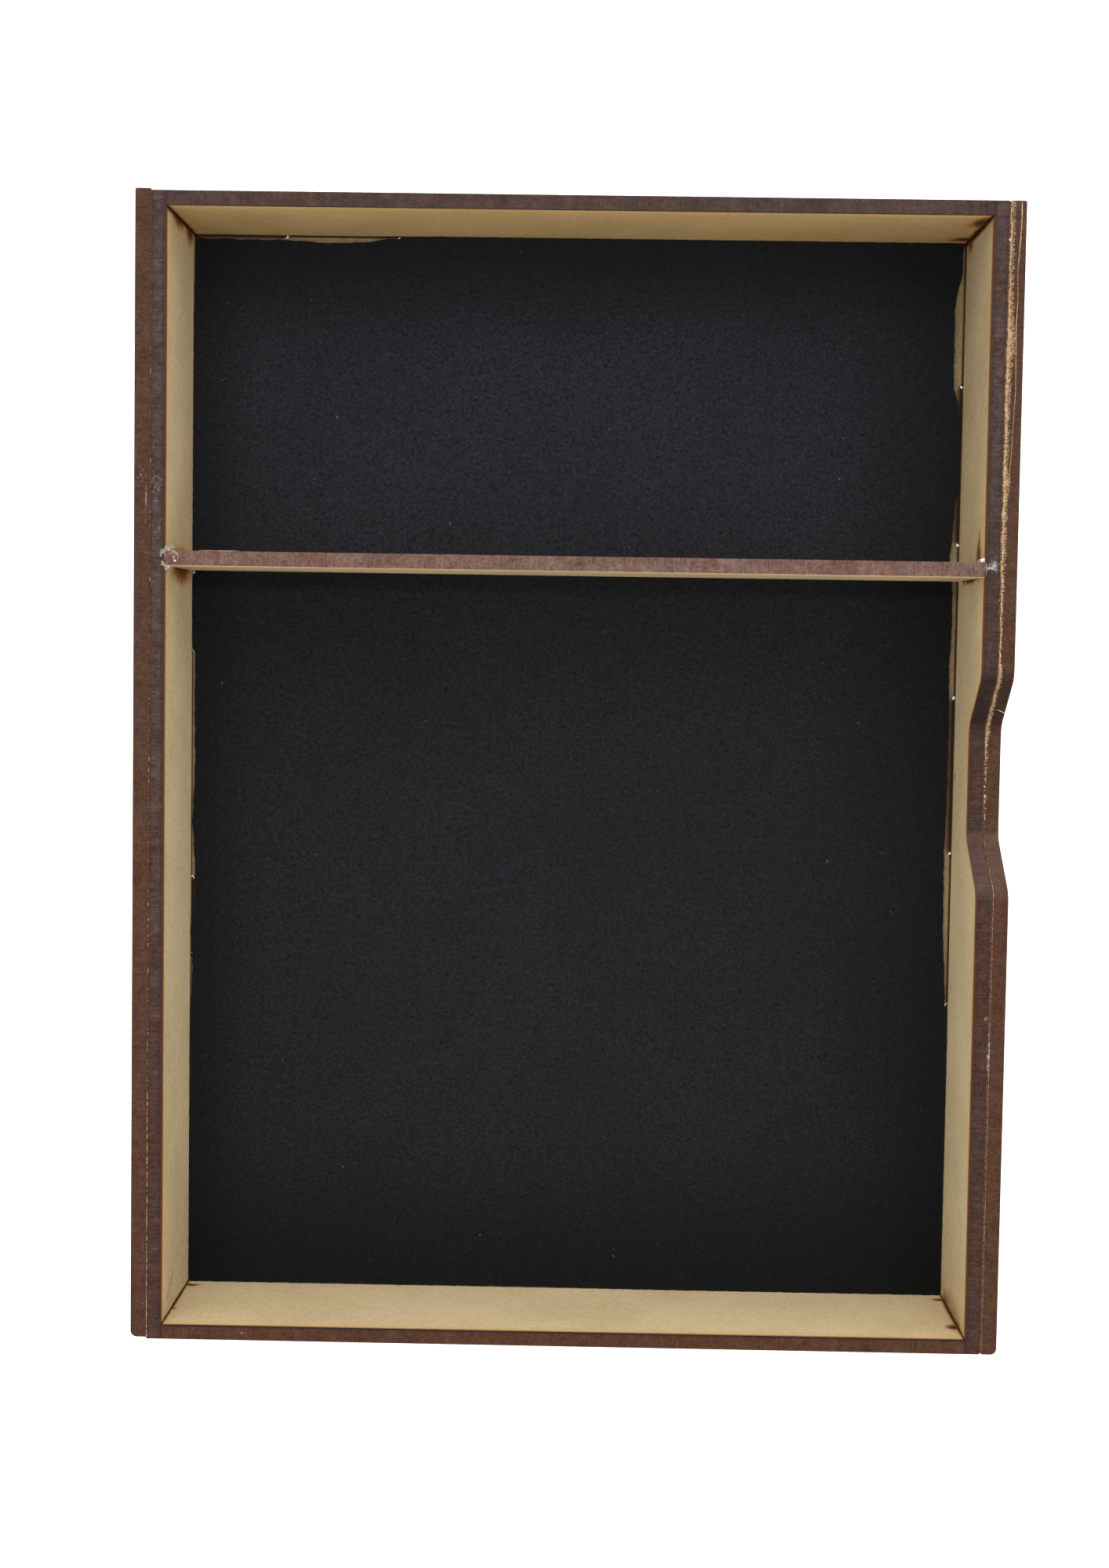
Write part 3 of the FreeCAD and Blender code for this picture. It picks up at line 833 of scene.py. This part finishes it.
def felt_finish(name, tone, blue):
    """Black felt. The tone makes a whole sheet lighter or darker, and blue makes it bluer."""
    material, g, surface = new_material(name)
    p = g.place()
    x, y, z = g.parts(p)
    nap = g.noise(p, 1500, 4, 0.75, 0.8)
    curl = g.ramp(g.noise(p, 520, 3, 0.6, 6.0), 0.52, 0.6)
    cloud = g.noise(p, 26, 3, 0.6)
    colour = g.mix(g.ramp(nap, 0.32, 0.7), srgb(9, 9, 10), srgb(36, 36, 40))
    colour = g.mix(g.math("MULTIPLY", curl, 0.25), colour, srgb(50, 50, 56))
    colour = g.mix(g.math("MULTIPLY", g.ramp(cloud, 0.3, 0.75), 0.25), colour, srgb(15, 15, 18))
    # Painted shade: the felt is darkened toward each wall, where the walls shade it.
    for inward, reach, strength in (
        (g.math("SUBTRACT", x, left_face), 14 * MM, 0.5),
        (g.math("SUBTRACT", right_face, x), 32 * MM, 0.57),
        (g.math("SUBTRACT", rear_face, y), 24 * MM, 0.67),
        (g.math("SUBTRACT", y, front_face), 36 * MM, 0.69),
    ):
        painted_wall_shade = g.math("MULTIPLY", g.ramp(inward, reach, 1.5 * MM), strength)
        colour = g.mix(painted_wall_shade, colour, srgb(7, 8, 10))
    g.feed(surface.inputs["Base Color"], g.mix(1.0, colour, (tone, tone, tone * blue, 1), "MULTIPLY"))
    g.feed(surface.inputs["Roughness"], g.math("MULTIPLY_ADD", nap, 0.1, 0.85))
    surface.inputs["Sheen Weight"].default_value = 0.03
    surface.inputs["Specular IOR Level"].default_value = 0.14
    g.bump(surface, g.math("MULTIPLY_ADD", curl, 0.15, nap), 0.14 * MM)
    return material


rear_sheet = felt_sheet("felt_rear", rear_edges, felt_finish("black felt, rear", 1.07, 1.08))
front_sheet = felt_sheet("felt_front", front_edges, felt_finish("black felt, front", 0.74, 1.03))
print("felt grid points:", len(rear_sheet.data.vertices) + len(front_sheet.data.vertices))

# %% [markdown]
# The nap itself: loose fibres lie on the felt and stick out past its cut edges. They are scattered
# with a fixed seed, most of them dark grey, a few pale ones that stand for lint.

# %% Nap
nap_material = fibre_material("felt fibres", srgb(12, 12, 14), srgb(40, 40, 44), 0.9, 0.05)
lint_material = fibre_material("lint", srgb(76, 74, 70), srgb(160, 155, 144))


def nap_fibres(name, edges, count, rim_count):
    """Fibres lying over a sheet, and more of them across its left and right edges."""
    left, right, front, rear = edges
    x = rng.uniform(left_face, right_face, count)
    y = front(x) + rng.uniform(0.003, 0.997, count) * (rear(x) - front(x))
    x = left(y) + rng.uniform(0.003, 0.997, count) * (right(y) - left(y))
    edge_y = rng.uniform(front(0) + MM, rear(0) - MM, rim_count)
    edge_x = np.where(rng.random(rim_count) < 0.35, left(edge_y) + 0.1 * MM, right(edge_y) - 0.1 * MM)
    x, y = np.concatenate([x, edge_x]), np.concatenate([y, edge_y])
    total = count + rim_count
    z = felt_top + rng.uniform(-0.02, 0.06, total) * MM
    z[count:] -= rng.uniform(0, 0.5, rim_count) * MM
    headings = np.stack([*rng.normal(0, 1, (2, total)), rng.normal(0, 0.05, total)], 1)
    lengths = rng.uniform(0.4, 1.7, total) * MM
    lengths[count:] *= 0.5
    widths = rng.uniform(0.04, 0.11, total) * MM
    middles = np.stack([x, y, z], 1)
    return fibres(name, middles, headings, lengths, widths, nap_material, 0.25, rng.random(total) ** 4)


rear_nap = nap_fibres("felt_nap_rear", rear_edges, 3600, 500)
front_nap = nap_fibres("felt_nap_front", front_edges, 8200, 900)
lint = []
specks = []
for name, low_y, high_y, count in (("rear", 46, 110, 12), ("front", -110, 38, 20)):
    middles = np.stack([rng.uniform(-78, 78, count), rng.uniform(low_y, high_y, count), np.zeros(count)], 1) * MM
    middles[:, 2] = felt_top + 0.06 * MM
    headings = np.stack([*rng.normal(0, 1, (2, count)), np.zeros(count)], 1)
    lengths, widths = rng.uniform(0.25, 0.9, count) * MM, rng.uniform(0.04, 0.1, count) * MM
    lint.append(fibres(f"lint_{name}", middles, headings, lengths, widths, lint_material, 0.3))
    places = {"rear": [(-50.8, 73.8), (-55.5, 60.8), (55.4, 62.3)], "front": [(-18.3, -100.8)]}[name]
    middles = np.array([(*place, felt_top / MM) for place in places]) * MM
    radii = rng.uniform(0.14, 0.22, len(places)) * MM
    specks.append(low_drops(f"specks_{name}", middles, radii, 0.6 * radii, lint_material))
for sheet, node, loose in (
    (rear_sheet, "rear_felt", [rear_nap, lint[0], specks[0]]),
    (front_sheet, "front_felt", [front_nap, lint[1], specks[1]]),
):
    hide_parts(node)
print("felt finished, fibres:", 3600 + 500 + 8200 + 900)

# %% [markdown]
# ## The worn seams
#
# Where the side wall and its facing board were sanded and handled, the burnt skin tore off along the
# seam and the pale fibre shows. It could be painted in a mask, but the tear stands proud and has
# teeth across the board, so it is a strip of its own: a low ridge from its inner to its outer edge,
# with sharp teeth of random length along the outer one. Where the seam is whole the strip dives
# under the surface of the boards. Under it, sanding dust fills both seams almost to the rim: the same
# strip, only hollow and dark, from one board to the other.

# %% Torn strips
torn_step = 0.07 * MM


def torn_strip(name, rows, inner, width, teeth, proud, height, material):
    """A ridge along Y at the height of the wall's edge, from x = inner to inner + width + teeth."""
    first = np.stack([inner, rows], 1)
    second = np.stack([inner + width + teeth, rows], 1)
    return low_ridge(name, first, second, height(rows), proud, material)


def flat_height(y):
    """The height of a rim without a notch."""
    return np.full_like(y, rim)


torn_material, g, surface = new_material("torn fibre")
p = g.place()
strands = g.noise(g.vector("MULTIPLY", p, (0.12, 1.0, 1.0)), 4200, 3, 0.7)
patches = g.noise(p, 420, 3, 0.6)
colour = g.mix(g.ramp(strands, 0.35, 0.65), srgb(108, 82, 56), srgb(176, 147, 107))
colour = g.mix(g.math("MULTIPLY", g.ramp(patches, 0.5, 0.7), 0.4), colour, srgb(142, 104, 76))
g.feed(surface.inputs["Base Color"], colour)
surface.inputs["Roughness"].default_value = 0.9
g.bump(surface, strands, 0.05 * MM)

dust_material, g, surface = new_material("seam dust")
p = g.place()
grain = g.noise(p, 2600, 3, 0.7)
fleck = g.ramp(g.noise(p, 1500, 2, 0.6), 0.66, 0.74)
colour = g.mix(g.ramp(grain, 0.35, 0.65), srgb(44, 29, 22), srgb(86, 62, 50))
colour = g.mix(g.math("MULTIPLY", fleck, 0.5), colour, srgb(150, 124, 96))
g.feed(surface.inputs["Base Color"], colour)
surface.inputs["Roughness"].default_value = 0.9
surface.inputs["Specular IOR Level"].default_value = 0.15
g.bump(surface, grain, 0.05 * MM)

rows = np.arange(tray_front + 0.2 * MM, tray_rear - 0.1 * MM, torn_step)
wear = np.array([
    (-115, 0.05), (-60, 0.06), (-14, 0.08), (-8, 0.14), (-6, 0.3), (0, 0.3), (3, 0.32), (7, 0.36), (10, 0.5),
    (14, 0.5), (18, 0.42), (21, 0.5), (24, 0.3), (36, 0.3), (44, 0.5), (57, 0.6), (60, 0.9), (63, 0.5), (80, 0.6),
    (88, 0.85), (92, 0.5), (100, 0.35), (115, 0.35),
])
width = np.interp(rows, wear[:, 0] * MM, wear[:, 1] * MM)
teeth = np.maximum(ragged(rows, 0.25 * MM) - 0.5, 0) * 1.3 * width
breadth = width * (0.4 + 0.8 * ragged(rows, 0.4 * MM))
gaps = np.interp(rows, np.array([-20, -9, 4, 8]) * MM, [0.1, 0.6, 0.6, 0.0])
whole = ragged(rows, 0.3 * MM) < gaps
proud = np.where(whole, -0.25 * MM, (0.03 + 0.04 * ragged(rows, 0.4 * MM)) * MM)
seam_out = right_seam[1] - np.interp(rows, np.array([-9, -6, 36, 42, 90, 96]) * MM, [0.02, 0.1, 0.1, 0.22, 0.22, 0.1]) * MM
wandering = 0.22 * (ragged(rows, 1.3 * MM) - 0.5) + 0.08 * (ragged(rows, 0.4 * MM) - 0.5)
seam_out = seam_out + wandering * np.interp(rows / MM, [-16, -8], [0.2, 1]) * MM
main_strip = torn_strip("torn_seam_right", rows, seam_out, breadth, teeth, proud, edge_height, torn_material)
inner_rows = rows[(rows > 34 * MM) & (rows < 90 * MM)]
inner_start = right_seam[0] - (0.02 + 0.1 * ragged(inner_rows, 0.4 * MM)) * MM
inner_width = (0.05 + 0.12 * ragged(inner_rows, 0.3 * MM)) * MM
inner_proud = np.where(ragged(inner_rows, 0.6 * MM) < 0.5, -0.25, 0.02) * MM
inner_strip = torn_strip(
    "torn_seam_inner", inner_rows, inner_start, inner_width, 0 * inner_width, inner_proud, edge_height, torn_material
)
stray = np.array([
    (58, 0.7, 0.16), (64, 1.0, 0.14), (71, 1.3, 0.14), (78, 1.6, 0.16), (90, 1.3, 0.28), (96, 1.6, 0.12),
    (101, 1.4, 0.12), (105, 1.6, 0.26), (110, 1.85, 0.3), (115, 1.85, 0.34),
])
line_rows = rows[(rows > 58 * MM) & (rows < 114.6 * MM)]
line_start = right_seam[1] + np.interp(line_rows, stray[:, 0] * MM, stray[:, 1] * MM)
line_width = np.interp(line_rows, stray[:, 0] * MM, stray[:, 2] * MM)
line_start = line_start + 0.04 * MM * ragged(line_rows, 0.5 * MM)
line_width = line_width * (0.8 + 0.4 * ragged(line_rows, 0.35 * MM))
line_proud = np.full_like(line_rows, 0.03 * MM)
outer_strip = torn_strip(
    "torn_line_outer", line_rows, line_start, line_width, 0 * line_width, line_proud, edge_height, torn_material
)
left_rows = rows[rows < tray_rear - 1 * MM]
left_start = np.full_like(left_rows, left_seam[1] - 0.07 * MM)
left_width = (0.04 + 0.16 * ragged(left_rows, 0.5 * MM)) * MM
left_gaps = np.interp(left_rows, np.array([-105, -80, -60, -10, 40, 110]) * MM, [0.2, 0.3, 0.6, 0.78, 0.88, 0.93])
left_proud = np.where(ragged(left_rows, 0.45 * MM) < left_gaps, -0.25, 0.03) * MM
left_strip = torn_strip(
    "torn_seam_left", left_rows, left_start, left_width, 0 * left_width, left_proud, flat_height, torn_material
)
for name, seam, height in (("dust_left", left_seam, flat_height), ("dust_right", right_seam, edge_height)):
    start = np.full_like(rows, seam[0])
    full = np.full_like(rows, seam[1] - seam[0])
    torn_strip(name, rows, start, full, 0 * full, -0.03 * MM + 0 * full, height, dust_material)
columns = np.arange(-74.6 * MM, -66.6 * MM, torn_step)
torn_width = (0.05 + 0.16 * np.sin((columns - columns[0]) / (columns[-1] - columns[0]) * math.pi) ** 2) * MM
torn_width = torn_width * (0.7 + 0.5 * ragged(columns, 0.5 * MM))
divider_strip = low_ridge(
    "torn_divider_edge",
    np.stack([columns, divider_rear + 0.12 * MM + 0 * columns], 1),
    np.stack([columns, divider_rear + 0.12 * MM - torn_width], 1),
    np.full_like(columns, rim),
    0.02 * MM + 0 * columns,
    torn_material,
)
print("torn strips:", len(rows), "rows")

# %% [markdown]
# Loose fibres fringe the tear, most of them across the seam, thickest on the rear flank of the notch.
# One long hair stands off it. The same builder scatters the whitish scuffs on the left wall.

# %% Fringe and scuffs
fringe_material = fibre_material("fringe fibres", srgb(132, 100, 66), srgb(200, 170, 128))
fringe_count = 3000
chance = np.interp(rows, wear[:, 0] * MM, wear[:, 1] + (wear[:, 0] > 85) * 0.25) ** 2
chance = chance * np.where(rows < 8 * MM, 0.7, 1)
chance = chance * (1 + 2.2 * ((rows > 9 * MM) & (rows < 24 * MM)))
fringe_y = rng.choice(rows, fringe_count, p=chance / chance.sum())
fringe_width = np.interp(fringe_y, wear[:, 0] * MM, (wear[:, 1] + (wear[:, 0] > 85) * 0.25) * MM)
fringe_x = right_seam[1] + rng.uniform(-0.15, 1.25, fringe_count) * fringe_width
steep = np.gradient(edge_height(rows), rows)
rise = np.interp(fringe_y, rows, steep)
fringe_z = edge_height(fringe_y) + rng.uniform(0.0, 0.08, fringe_count) * MM
fringe_heading = np.stack([np.ones(fringe_count), rng.normal(0, 0.85, fringe_count), np.zeros(fringe_count)], 1)
fringe_heading[:, 2] = fringe_heading[:, 1] * rise
fringe_length = rng.uniform(0.2, 0.75, fringe_count) * MM
fringe = fibres(
    "seam_fringe",
    np.stack([fringe_x, fringe_y, fringe_z], 1),
    fringe_heading,
    fringe_length,
    rng.uniform(0.03, 0.08, fringe_count) * MM,
    fringe_material,
    0.25,
)
hair = fibres(
    "hair",
    np.array([[86.75, 14.35, 26.95]]) * MM,
    np.array([[1.9, -0.85, -0.6]]),
    np.array([2.3]) * MM,
    np.array([0.13]) * MM,
    fibre_material("hair", srgb(196, 186, 166), srgb(230, 224, 206)),
    0.1,
)

# %% [markdown]
# ## Scuffs and dried glue
#
# A scuff is a patch of short pale strokes. Each patch has a middle, a spread, the direction of its
# strokes and how many there are. The glue smear beside the divider is the same, only whiter and in
# a swirl, so each stroke's direction turns round the middle of the patch.

# %% Scuffs
scuff_material = fibre_material("scuffs", srgb(112, 98, 92), srgb(176, 166, 158))


def scuff(middle, spread, heading, count, length, swirl=0.0):
    """The arrays of one patch of strokes, in millimetres on the rim: middles, headings, lengths."""
    places = rng.normal(0, 1, (count, 2)) * spread
    headings = rng.normal(0, 0.35, (count, 2)) + heading
    headings = headings + swirl * np.stack([-places[:, 1], places[:, 0]], 1)
    flat = np.zeros((count, 1))
    middles = np.concatenate([places + middle, flat], 1) * MM
    middles[:, 2] = rim + 0.015 * MM
    return middles, np.concatenate([headings, flat], 1), rng.uniform(0.4, 1, count) * length * MM


def patch_of(name, patches, width, material):
    """One piece from several patches of strokes."""
    middles, headings, lengths = (np.concatenate(part) for part in zip(*patches))
    widths = rng.uniform(0.5, 1, len(middles)) * width * MM
    made = fibres(name, middles, headings, 0.8 * lengths, widths, material, 0.12)
    return made


left_scuffs = [
    scuff((-83.3, 57.5), (0.6, 1.3), (0.6, 0.8), 34, 1.0),
    scuff((-82.6, 48.6), (0.15, 0.35), (0.5, 1), 8, 0.7),
    scuff((-83.2, 47.7), (0.2, 0.3), (0.5, 1), 8, 0.5),
    scuff((-83.7, 46.3), (0.15, 0.3), (0.3, 1), 6, 0.4),
    scuff((-83.0, 54.0), (0.3, 0.8), (0.3, 1), 10, 0.8),
    scuff((-85.2, 54.4), (0.08, 1.9), (0.02, 1), 26, 1.6),
    scuff((-86.2, 58.6), (0.5, 1.0), (1, 0.7), 14, 0.9),
    scuff((-84.9, 43.6), (0.1, 0.1), (0.5, 1), 3, 0.3),
]
patch_of("scuffs_left", left_scuffs, 0.07, scuff_material)
pale_scuff_material = fibre_material("pale scuffs", srgb(140, 110, 90), srgb(206, 180, 156))
front_scuffs = [
    scuff((-64.5, -113.7), (0.5, 0.1), (1, -0.6), 4, 0.8),
    scuff((83.7, -46.8), (0.35, 0.3), (1, 1), 10, 0.7),
]
patch_of("scuffs_front", front_scuffs, 0.07, pale_scuff_material)

# %% [markdown]
# The left wall's face has long faint scratches near the front. They lie in the wall's own plane, so
# their places are given as y and z on that face.

# %% Scratches on the left wall
scratch_count = 26
along = rng.random((scratch_count, 1))
first, second = np.array([-102.0, 17.0]), np.array([-109.3, 30.5])
places = first + along * (second - first) + rng.normal(0, 0.3, (scratch_count, 2))
scratches = fibres(
    "scratches_left",
    np.concatenate([np.full((scratch_count, 1), left_face / MM + 0.004), places], 1) * MM,
    np.concatenate([np.zeros((scratch_count, 1)), second - first + rng.normal(0, 1.2, (scratch_count, 2))], 1),
    rng.uniform(0.8, 3.2, scratch_count) * MM,
    rng.uniform(0.02, 0.06, scratch_count) * MM,
    fibre_material("scratch", srgb(84, 70, 46), srgb(120, 100, 70)),
    0.03,
)

# %% [markdown]
# The glue was clear when it was wet. Between the doubled walls it dried amber and only shows as a thin
# line down in the seam; its dark brown there is partly painted shade of the seam. At the divider's left
# end a round drop stayed clear, so the charred edge shows through it, and a whitish crust dried round
# it. The beads in the divider's corners dried white.

# %% Dried glue finish
for name in ("left_glue_line", "right_glue_line"):
    material, g, surface = new_material(name.replace("_", " "))
    haze = g.noise(g.place(), 900, 4, 0.7)
    # Amber glue, its dark brown partly painted shade of the narrow seam.
    g.feed(surface.inputs["Base Color"], g.mix(g.ramp(haze, 0.45, 0.65), srgb(44, 28, 20), srgb(120, 92, 66)))
    g.feed(surface.inputs["Roughness"], g.math("MULTIPLY_ADD", haze, 0.3, 0.25))
    g.bump(surface, haze, 0.05 * MM)
    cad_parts[name].data.materials.clear()
    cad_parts[name].data.materials.append(material)
for name in ("left_divider_glue", "right_divider_glue"):
    material, g, surface = new_material(name.replace("_", " "))
    p = g.place()
    haze = g.noise(p, 1400, 4, 0.7)
    clear = g.ramp(g.parts(p)[2], rim - 0.06 * MM, rim + 0.02 * MM)
    bead = g.mix(g.ramp(haze, 0.35, 0.6), srgb(122, 112, 98), srgb(186, 180, 170))
    drop = g.mix(g.ramp(haze, 0.45, 0.6), srgb(70, 40, 34), srgb(96, 60, 52))
    g.feed(surface.inputs["Base Color"], g.mix(clear, bead, drop))
    g.feed(surface.inputs["Roughness"], g.math("MULTIPLY_ADD", clear, -0.3, 0.42))
    g.bump(surface, haze, 0.03 * MM)
    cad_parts[name].data.materials.clear()
    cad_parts[name].data.materials.append(material)

# %% [markdown]
# The crust is a broken ring of tiny drops round the clear drop. A thin pale ridge round the drop's far
# side is a painted reflection of the lamp on its rim. On the right a finger pulled the wet glue across
# the side wall's edge: a block at the divider's corner, a tail and a fuzzy smear, made of strokes that
# turn round its middle and a powder of small drops.

# %% Crust and smear
drop_centre = np.array([left_face / MM + 1.2, divider_middle / MM])


def round_the_drop(count, spread, start, end, radius):
    """Places on a ring round the clear drop between two angles in degrees, scattered by spread."""
    angle = np.radians(rng.uniform(start, end, count))
    ring = radius + rng.normal(0, spread, count)
    return drop_centre + np.stack([ring * np.cos(angle), ring * np.sin(angle)], 1)


crust_places = np.concatenate([
    round_the_drop(46, 0.07, 96, 170, 2.15),
    round_the_drop(26, 0.35, 132, 158, 1.9),
    round_the_drop(40, 0.12, 198, 258, 2.0),
    round_the_drop(10, 0.1, 60, 100, 2.2),
])
crust_count = len(crust_places)
crust_radii = rng.uniform(0.04, 0.15, crust_count)
crust_and_reflection_material = fibre_material("glue crust and painted reflection", srgb(130, 122, 116), srgb(226, 226, 222), 0.45)
crust = low_drops(
    "glue_crust_left",
    np.concatenate([crust_places, np.full((crust_count, 1), rim / MM)], 1) * MM,
    crust_radii * MM,
    0.6 * crust_radii * MM,
    crust_and_reflection_material,
)
# The first drop, raised on the clear drop, is a painted highlight of the lamp; the other three are white dried glue.
beads_and_painted_highlight = low_drops(
    "glue_beads_and_painted_highlight",
    np.array([[-79.42, 42.16, rim / MM + 0.14], [80.52, 44.62, rim / MM - 0.17], [80.86, 44.68, rim / MM - 0.17],
              [84.38, 107.2, rim / MM]]) * MM,
    np.array([0.25, 0.24, 0.2, 0.16]) * MM,
    np.array([0.12, 0.14, 0.12, 0.1]) * MM,
    fibre_material("white glue and painted highlight", srgb(214, 216, 214), srgb(238, 240, 240), 0.3),
)
# Painted reflection: this pale ridge on the far rim of the clear drop stands for the lamp's reflection.
angle = np.radians(np.linspace(84, -34, 60))
ridge_width = 0.05 + 0.17 * np.clip((np.degrees(angle) + 10) / 40, 0, 1)
spoke = np.stack([np.cos(angle), np.sin(angle)], 1)
arc = low_ridge(
    "glue_arc_painted_reflection",
    (drop_centre + 1.34 * spoke) * MM,
    (drop_centre + (1.34 + ridge_width)[:, None] * spoke) * MM,
    rim + 0.05 * MM + 0 * angle,
    0.07 * MM + 0 * angle,
    crust_and_reflection_material,
)
smear_material = fibre_material("glue smear", srgb(112, 114, 116), srgb(196, 202, 202), 0.5)
smears = [
    scuff((82.95, 43.4), (0.42, 0.5), (0.1, 0.4), 110, 0.6, 2.2),
    scuff((82.2, 43.0), (0.45, 0.16), (1, 0.2), 40, 0.6),
    scuff((81.5, 42.9), (0.12, 0.55), (0.2, 1), 26, 0.5),
    scuff((84.45, -54.8), (0.1, 1.9), (0.12, 1), 60, 1.1),
]
patch_of("glue_smear_right", smears, 0.07, smear_material)
powder_places = np.concatenate([rng.normal(0, 1, (70, 2)) * (0.4, 0.45) + (82.95, 43.4), rng.normal(0, 1, (26, 2)) * (0.3, 0.25) + (81.7, 42.9)])
powder = low_drops(
    "glue_powder_right",
    np.concatenate([powder_places, np.full((96, 1), rim / MM)], 1) * MM,
    rng.uniform(0.03, 0.1, 96) * MM,
    rng.uniform(0.02, 0.05, 96) * MM,
    smear_material,
)
print("glue pieces finished")

# %% [markdown]
# ## Camera and light
#
# The photograph was taken from nearly straight above. Its camera was solved from the corners of the
# rim and of the floor: the turn about each axis, how far the tray's middle lies from the lens, and
# the focal length. The tilt is written as a turn of the tray before the lens and then inverted.

# %% Camera
image_height = 2000
focal_pixels = 3000
sensor = 36
turn = [math.radians(a) for a in (3.50, -0.78, -0.92)]
tray_seen = Vector((3.3, 1.1, -469.0)) * MM
to_lens = Matrix.Rotation(turn[2], 3, "Z") @ Matrix.Rotation(turn[1], 3, "Y") @ Matrix.Rotation(turn[0], 3, "X")
camera_data = bpy.data.cameras.new("camera")
camera_data.sensor_width = sensor
camera_data.lens = focal_pixels / image_height * sensor
camera_data.clip_start = 0.01
camera_data.clip_end = 20
camera = bpy.data.objects.new("camera", camera_data)
place = to_lens.transposed() @ -tray_seen + Vector((0, 0, rim))
camera.matrix_world = Matrix.Translation(place) @ to_lens.transposed().to_4x4()
bpy.context.scene.collection.objects.link(camera)
bpy.context.scene.camera = camera
print("camera at", [round(c, 4) for c in place], "lens", camera_data.lens)

# %% [markdown]
# The light is a bright even sky and one large soft lamp above the rear of the tray, so the front
# wall's face is the lightest. A weak small lamp near the lens lays the narrow shadow in front of the
# divider. The floor and the sky are plain white where the camera sees them, by the Light Path node,
# and the floor still takes the tray's shadow.

# %% Light and floor


def soft_lamp(name, place, aim, size, power):
    """A square lamp at a place, turned to aim at a point."""
    data = bpy.data.lights.new(name, "AREA")
    data.size = size
    data.energy = power
    lamp = bpy.data.objects.new(name, data)
    lamp.location = place
    lamp.rotation_euler = (Vector(aim) - Vector(place)).to_track_quat("-Z", "Y").to_euler()
    bpy.context.scene.collection.objects.link(lamp)
    return lamp


soft_lamp("rear lamp", (0.0, 0.9, 0.9), (0, 0, 0), 0.9, 5.5)
soft_lamp("overhead lamp", (0.0, 0.106, 0.62), (0, 0, 0), 0.035, 1.0)
world = bpy.data.worlds.new("studio")
bpy.context.scene.world = world
world.use_nodes = True
g = Graph(world.node_tree)
path = g.node("ShaderNodeLightPath").outputs
seen = g.math("MAXIMUM", path["Is Camera Ray"], g.math("MAXIMUM", path["Is Glossy Ray"], path["Is Transmission Ray"]))
sky_level = 1.43
background = world.node_tree.nodes["Background"]
g.feed(background.inputs["Strength"], g.math("MULTIPLY_ADD", seen, 1 - sky_level, sky_level))
background.inputs["Color"].default_value = (1, 1, 1, 1)

floor_material, g, surface = new_material("pale floor")
surface.inputs["Base Color"].default_value = (0.8, 0.8, 0.8, 1)
surface.inputs["Roughness"].default_value = 0.9
surface.inputs["Specular IOR Level"].default_value = 0.0
surface.inputs["Emission Color"].default_value = (1, 1, 1, 1)
seen = g.node("ShaderNodeLightPath").outputs["Is Camera Ray"]
g.feed(surface.inputs["Emission Strength"], g.math("MULTIPLY", seen, 0.6))
bpy.ops.mesh.primitive_plane_add(size=8, location=(0, 0, -0.1 * MM))
floor = bpy.context.active_object
floor.name = "studio_floor"
floor.data.materials.append(floor_material)

# %% [markdown]
# Colours are meant to render about as they are written, so the view transform is the plain one.

# %% Finish
bpy.context.scene.view_settings.view_transform = "Standard"
